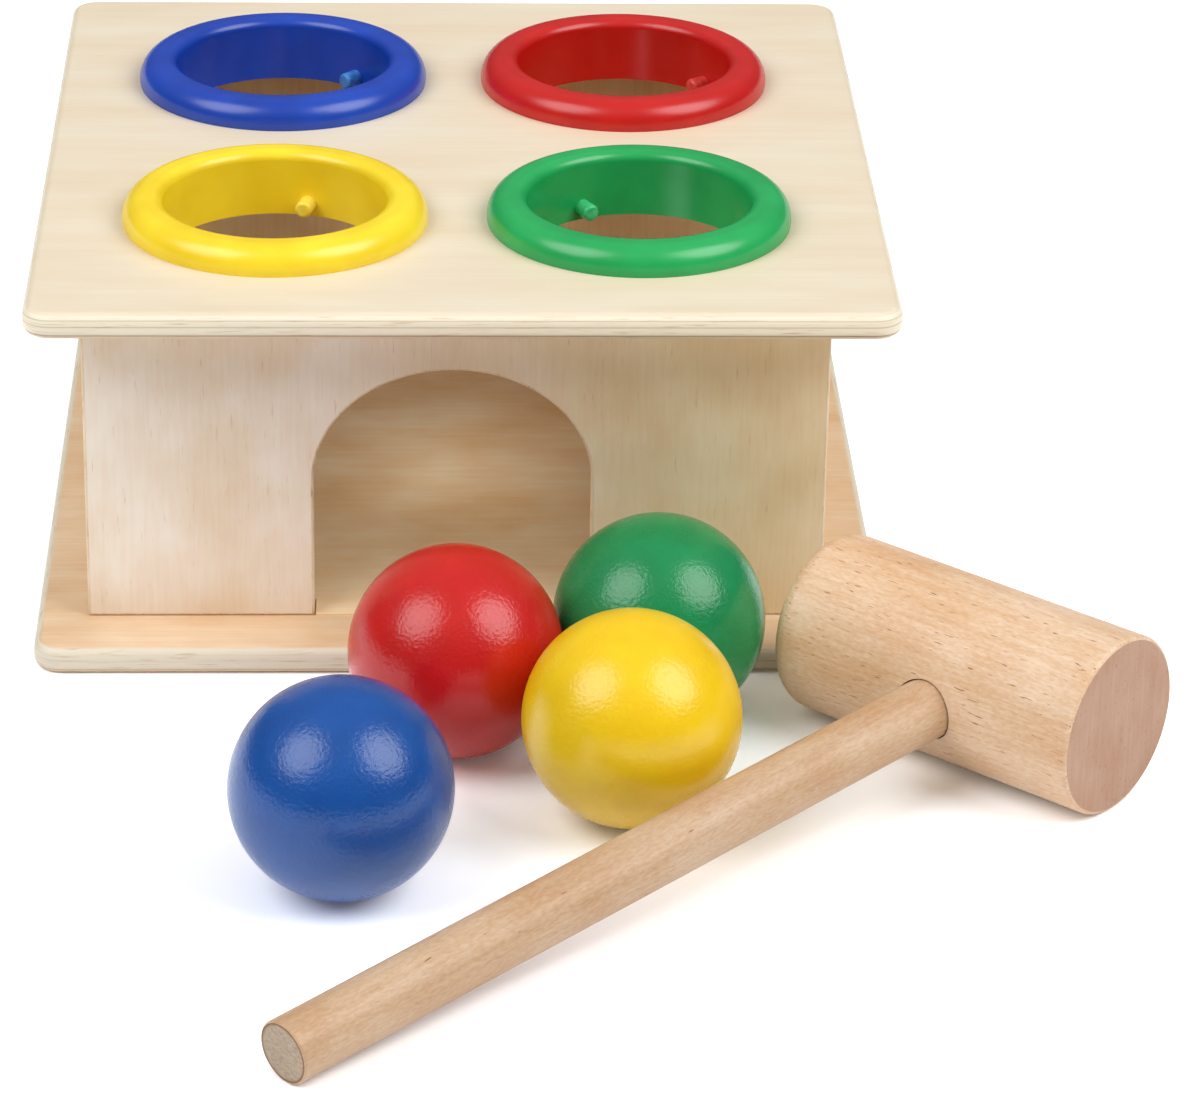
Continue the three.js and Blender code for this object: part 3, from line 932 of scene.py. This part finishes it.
@dataclass
class Studio:
    """The white table, the soft lights and the camera.

    The table has one tone for the light that it throws back, and one for the camera and for
    reflections, which see it as white.
    """

    image_width: int = 1200
    focal_pixels: float = 5044.8
    sensor_mm: float = 36.0
    clip: tuple[float, float] = (0.01, 50.0)
    yaw_deg: float = 2.509
    pitch_deg: float = 25.711
    roll_deg: float = -1.037
    eye: Vector = field(default_factory=lambda: Vector((-13.28, -1068.61, 497.54)) * MM)
    floor_size: float = 6.0
    floor_tone: tuple[float, float, float, float] = (0.92, 0.92, 0.92, 1.0)
    floor_seen: tuple[float, float, float, float] = (1.25, 1.29, 1.34, 1.0)
    floor_lift: float = 0.06
    world_strength: float = 0.5
    wall_tone: str = "404040"
    ceiling_tone: str = "FFFFFF"
    ceiling_from: float = 0.9
    boxes: tuple[SoftBox, ...] = (
        SoftBox("left_softbox", (-0.600, -0.310, 0.738), 37.0),
        SoftBox("right_softbox", (0.640, -0.281, 0.715), 42.0),
    )
    box_distance: float = 2.5
    box_size: float = 1.9
    aim: Vector = field(default_factory=lambda: Vector((0.0, -60.0, 40.0)) * MM)

    def camera(self) -> None:
        """Sets up the camera as the photograph was taken."""
        yaw, pitch, roll = (math.radians(a) for a in (self.yaw_deg, self.pitch_deg, self.roll_deg))
        level = math.cos(pitch)
        ahead = Vector((math.sin(yaw) * level, math.cos(yaw) * level, -math.sin(pitch)))
        right = Vector((math.cos(yaw), -math.sin(yaw), 0))
        down = ahead.cross(right)
        right_rolled = math.cos(roll) * right + math.sin(roll) * down
        down_rolled = -math.sin(roll) * right + math.cos(roll) * down
        data = bpy.data.cameras.new("camera")
        data.sensor_width = self.sensor_mm
        data.lens = self.focal_pixels / self.image_width * self.sensor_mm
        data.clip_start, data.clip_end = self.clip
        eye = bpy.data.objects.new("camera", data)
        axes = Matrix((right_rolled, -down_rolled, -ahead)).transposed().to_4x4()
        eye.matrix_world = Matrix.Translation(self.eye) @ axes
        bpy.context.scene.collection.objects.link(eye)
        bpy.context.scene.camera = eye

    def floor(self) -> None:
        """Makes the white table top, which keeps the object's soft shadow."""
        bm = bmesh.new()
        bmesh.ops.create_grid(bm, x_segments=1, y_segments=1, size=self.floor_size)
        mesh = bpy.data.meshes.new("table")
        bm.to_mesh(mesh)
        bm.free()
        material = bpy.data.materials.new("white_table")
        material.use_nodes = True
        tree = material.node_tree
        tree.nodes.clear()
        seen = add_node(tree, "ShaderNodeLightPath", output="Is Camera Ray")
        for ray in ("Is Glossy Ray", "Is Transmission Ray"):
            path = add_node(tree, "ShaderNodeLightPath", output=ray)
            seen = add_node(tree, "ShaderNodeMath", {0: seen, 1: path}, operation="MAXIMUM")
        lift = add_node(tree, "ShaderNodeMath", {0: seen, 1: self.floor_lift}, operation="MULTIPLY")
        tones = {SHARE: seen, UNDER: self.floor_tone, OVER: self.floor_seen}
        tone = add_node(tree, "ShaderNodeMix", tones, **COLOUR_MIX)
        matt = add_node(tree, "ShaderNodeBsdfDiffuse", {"Color": tone})
        glow = add_node(tree, "ShaderNodeEmission", {"Color": linear("FFFFFF"), "Strength": lift})
        both = add_node(tree, "ShaderNodeAddShader", {0: matt, 1: glow})
        add_node(tree, "ShaderNodeOutputMaterial", {"Surface": both})
        mesh.materials.append(material)
        table = bpy.data.objects.new("table", mesh)
        bpy.context.scene.collection.objects.link(table)

    def lights(self) -> None:
        """Hangs two soft boxes in front of the object, on the left and on the right."""
        for box in self.boxes:
            data = bpy.data.lights.new(box.name, "AREA")
            data.shape = "DISK"
            data.size = self.box_size
            data.energy = box.power
            lamp = bpy.data.objects.new(box.name, data)
            way = Vector(box.way).normalized()
            lamp.location = self.aim + way * self.box_distance
            lamp.rotation_euler = way.to_track_quat("Z", "Y").to_euler()
            bpy.context.scene.collection.objects.link(lamp)

    def world(self) -> None:
        """Fills the shadows softly, from a pale ceiling over dim walls."""
        world = bpy.data.worlds.new("studio")
        bpy.context.scene.world = world
        world.use_nodes = True
        tree = world.node_tree
        tree.nodes.clear()
        way = add_node(tree, "ShaderNodeTexCoord", output="Generated")
        height = add_node(tree, "ShaderNodeSeparateXYZ", {"Vector": way}, output="Z")
        stops = [(0.0, self.wall_tone), (self.ceiling_from, self.ceiling_tone)]
        tone = add_node(tree, "ShaderNodeValToRGB", {"Fac": height}, stops=stops)
        fill = add_node(tree, "ShaderNodeBackground", {"Color": tone, "Strength": self.world_strength})
        add_node(tree, "ShaderNodeOutputWorld", {"Surface": fill})

    def dress(self) -> None:
        """Sets up the whole studio."""
        bpy.context.scene.view_settings.view_transform = "Standard"
        self.camera()
        self.floor()
        self.lights()
        self.world()


# Lacquered birch plywood, rotary cut and sanded: a pale, even face with long faint grain.
# Here and below, grain lines, rays and pores are drawn coarser than real ones, so that they show.
TOP_PLY = PanelFinish(
    "birch_plywood_top",
    (
        Layer((1.1, 1.1, 55.0), "E8DBC4", "EBDFC8", detail=4.0),
        Layer((14.0, 14.0, 45.0), "FAF4EC", "FFFFFF"),
    ),
    Relief((0.45, 0.45, 7.0), 0.12),
    roughness=0.42,
    seam="CFBEA0",
    glue="AE9070",
    lowest="E3D1B6",
    underside=78.2 * MM,
)

# The same plywood with a warmer face veneer, so that the pale plies show on its round edges
BASE_PLY = PanelFinish(
    "birch_plywood_base",
    (
        Layer((1.2, 1.2, 40.0), "E1C6A4", "E8CFB3", detail=4.0),
        Layer((9.0, 9.0, 18.0), "F6EADA", "FFFFFF"),
    ),
    Relief((0.45, 0.45, 7.0), 0.12),
    roughness=0.45,
    core="DED4C0",
    lowest="DCC3A4",
    upper_face=0.955,
)

# Sanded poplar plywood: short upright grain marks, pinkish clouds, and a tanner right half
WALL_PLY = WallFinish(
    "poplar_plywood_wall",
    (
        Layer((0.9, 0.9, 12.0), "F8EADA", "FBF1E2"),
        Layer((18.0, 18.0, 22.0), "F4EADA", "FFFFFF"),
        Layer((0.5, 0.5, 5.0), "FFFFFF", "EFE5DA", low=0.68, high=0.84, detail=1.0),
    ),
    Relief((0.45, 0.45, 7.0), 0.15),
    roughness=0.5,
    right_tone="FFF5DC",
)

# The back wall, of birch plywood that has yellowed a little
BACK_PLY = Finish(
    "birch_plywood_back",
    (
        Layer((0.9, 0.9, 32.0), "EED6AC", "F5E2BE", detail=4.0),
        Layer((16.0, 16.0, 26.0), "F6EADC", "FFFFFF"),
    ),
    Relief((0.45, 0.45, 7.0), 0.15),
    roughness=0.5,
)

# The walls' eased edges, where the sanded plies show, a little deeper in tone than the faces
SANDED_EDGE = Finish(
    "sanded_plywood_edge",
    (
        Layer((2.0, 2.0, 9.0), "E2C9A8", "F0DCC0"),
        Layer((0.5, 0.5, 4.0), "FFFFFF", "D9BFA0", low=0.58, high=0.74),
    ),
    Relief((0.4, 0.4, 2.0), 0.2),
    roughness=0.55,
)

# Thin plywood floor of the box, with a lively figure along its width
RAMP_PLY = Finish(
    "birch_plywood_ramp",
    (
        Layer((1.6, 1.6, 20.0), "FBE3BA", "FFEED0"),
        Layer((18.0, 18.0, 26.0), "F0DEC8", "FFFFFF"),
    ),
    Relief((0.45, 0.45, 7.0), 0.12),
    roughness=0.5,
)

# Plain sawn pine of the pins and the rail, with coarse bands
PINE = Finish(
    "sawn_pine",
    (
        Layer((2.2, 2.2, 40.0), "C9A26C", "E2C494", detail=2.0),
        Layer((0.6, 0.6, 8.0), "EAD9C4", "FFFFFF"),
    ),
    Relief((0.5, 0.5, 5.0), 0.25),
    roughness=0.65,
)


def turned_beech(piece: str, deep: str, bright: str, pores_from: float) -> Finish:
    """Gives turned beech: a warm tan with slow clouds, fine rays, a few pores and hairlines.

    Args:
        piece: The piece that it is for.
        deep: The darker tone of its streaks.
        bright: The paler tone.
        pores_from: Noise level that pores begin at; a lower one gives more of them.

    Returns:
        The finish, whose grain runs along Z.
    """
    pores_full = pores_from + 0.07
    layers = (
        Layer((1.3, 0.8, 26.0), deep, bright),
        Layer((8.0, 13.0, 22.0), "F1E1CE", "FFFFFF"),
        Layer((0.5, 0.5, 1.6), "F5EBE0", "FFFFFF", detail=1.0),
        Layer((0.5, 0.4, 3.6), "FFFFFF", "B58A64", low=pores_from, high=pores_full, detail=1.0),
        Layer((0.35, 2.6, 30.0), "FFFFFF", "CDA684", low=0.73, high=0.81, detail=2.0),
    )
    relief = Relief((0.6, 0.6, 1.8), 0.22)
    return Finish(f"turned_beech_{piece}", layers, relief, roughness=0.46)


# Beech end grain on the head's striking face: pinker and duller, with fine upright streaks
BEECH_CAP = Finish(
    "beech_end_grain",
    (
        Layer((0.8, 0.8, 12.0), "B79078", "BE9A82", detail=4.0),
        Layer((9.0, 9.0, 14.0), "F4E8DE", "FFFFFF"),
        Layer((0.5, 0.5, 0.9), "FFFFFF", "DCC0AA", low=0.66, high=0.8, detail=1.0),
    ),
    Relief((0.4, 0.4, 1.2), 0.2),
    roughness=0.6,
)

# The handle's sawn end: grey and fibrous, with a red-brown rim where it was turned
HANDLE_END = RimmedFinish(
    "beech_handle_end",
    (
        Layer((1.6, 0.8, 1.6), "A99885", "BFAF9C", detail=4.0),
        Layer((0.5, 0.5, 0.5), "F0E6DA", "FFFFFF", detail=1.0),
    ),
    Relief((0.4, 0.4, 0.4), 0.25),
    roughness=0.65,
    rim="BC8058",
)


def moulded_plastic(colour: Colour, deep: str, bright: str) -> Finish:
    """Gives injection-moulded ABS: one clean colour, crisp highlights and a faint waviness.

    Args:
        colour: The colour that it is named for.
        deep: The darker tone of its slight variation.
        bright: The paler tone.

    Returns:
        The finish.
    """
    layers = (Layer((14.0, 14.0, 14.0), deep, bright, detail=2.0),)
    relief = Relief((2.6, 2.6, 2.6), 0.05)
    return Finish(f"moulded_plastic_{colour.value}", layers, relief, roughness=0.27, ior=1.53)


def painted_highlight_plastic(colour: Colour, deep: str, bright: str) -> Finish:
    """Gives the pegs' plastic: paler than the ring, as a painted highlight for the light that the pegs
    catch.

    Args:
        colour: The colour that it is named for.
        deep: The darker tone of its slight variation.
        bright: The paler tone.

    Returns:
        The finish.
    """
    layers = (Layer((2.0, 2.0, 2.0), deep, bright, detail=2.0),)
    relief = Relief((1.2, 1.2, 1.2), 0.1)
    return Finish(f"painted_highlight_plastic_{colour.value}", layers, relief, roughness=0.34, ior=1.53)


def dipped_paint(colour: Colour, deep: str, bright: str) -> Finish:
    """Gives gloss paint dipped over wood: a deep colour, with highlights broken by orange peel.

    Args:
        colour: The colour that it is named for.
        deep: The darker tone of its slight variation.
        bright: The paler tone.

    Returns:
        The finish.
    """
    layers = (Layer((9.0, 9.0, 9.0), deep, bright),)
    relief = Relief((0.8, 0.8, 0.8), 1.0)
    return Finish(f"painted_wood_{colour.value}", layers, relief, roughness=0.24, ior=1.5)


# Each ring's pegs get a paler plastic than the ring: a painted highlight
RINGS = [
    Ring(
        Colour.YELLOW,
        moulded_plastic(Colour.YELLOW, "F5D21E", "FFE22E"),
        painted_highlight_plastic(Colour.YELLOW, "F8DA38", "FDE460"),
        first_peg_deg=74.0,
    ),
    Ring(
        Colour.GREEN,
        moulded_plastic(Colour.GREEN, "1AA052", "22AE5C"),
        painted_highlight_plastic(Colour.GREEN, "2AB468", "4ECE88"),
        first_peg_deg=118.0,
    ),
    Ring(
        Colour.BLUE,
        moulded_plastic(Colour.BLUE, "103CA6", "1546B8"),
        painted_highlight_plastic(Colour.BLUE, "2A6CC2", "5096DC"),
        first_peg_deg=46.5,
    ),
    Ring(
        Colour.RED,
        moulded_plastic(Colour.RED, "BE120C", "CC1812"),
        painted_highlight_plastic(Colour.RED, "CE2A22", "E2534A"),
        first_peg_deg=35.6,
    ),
]
BALLS = [
    Ball(Colour.YELLOW, dipped_paint(Colour.YELLOW, "ECC00C", "F3CA0E")),
    Ball(Colour.GREEN, dipped_paint(Colour.GREEN, "0C8148", "0F8B4F")),
    Ball(Colour.BLUE, dipped_paint(Colour.BLUE, "0A4792", "0E4E9C")),
    Ball(Colour.RED, dipped_paint(Colour.RED, "BE1512", "C81915")),
]


def ring_middles() -> list[Vector]:
    """Gives the middle of each ring, from the CAD nodes."""
    boxes = [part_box(ring.node) for ring in RINGS]
    return [(low + high) / 2 for low, high in boxes]


def main() -> None:
    """Builds and dresses every piece, and sets up the studio."""
    logging.basicConfig(level=logging.INFO, format="%(name)s: %(message)s")
    Panel("base_panel", "base_plywood", BASE_PLY).dress()
    Panel("top_panel", "top_plywood", TOP_PLY, holes=ring_middles()).dress()
    Walls(WALL_PLY, BACK_PLY, SANDED_EDGE).dress()
    dress_node("ramp", RAMP_PLY.material(turn=Grain.ACROSS.turn))
    dress_node("ramp_rail", PINE.material(turn=Grain.ACROSS.turn))
    pin_wood = PINE.material(turn=Grain.UPRIGHT.turn)
    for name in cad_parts:
        if name.startswith("pin_"):
            dress_node(name, pin_wood)
    for piece in (*RINGS, *BALLS):
        piece.dress()
    head_wood = turned_beech("head", "E4C5A4", "EDD5BD", 0.69)
    handle_wood = turned_beech("handle", "C8AB8E", "D1B79B", 0.76)
    Hammer(head_wood, handle_wood, BEECH_CAP, HANDLE_END).dress()
    Studio().dress()


if __name__ == "__main__":
    main()
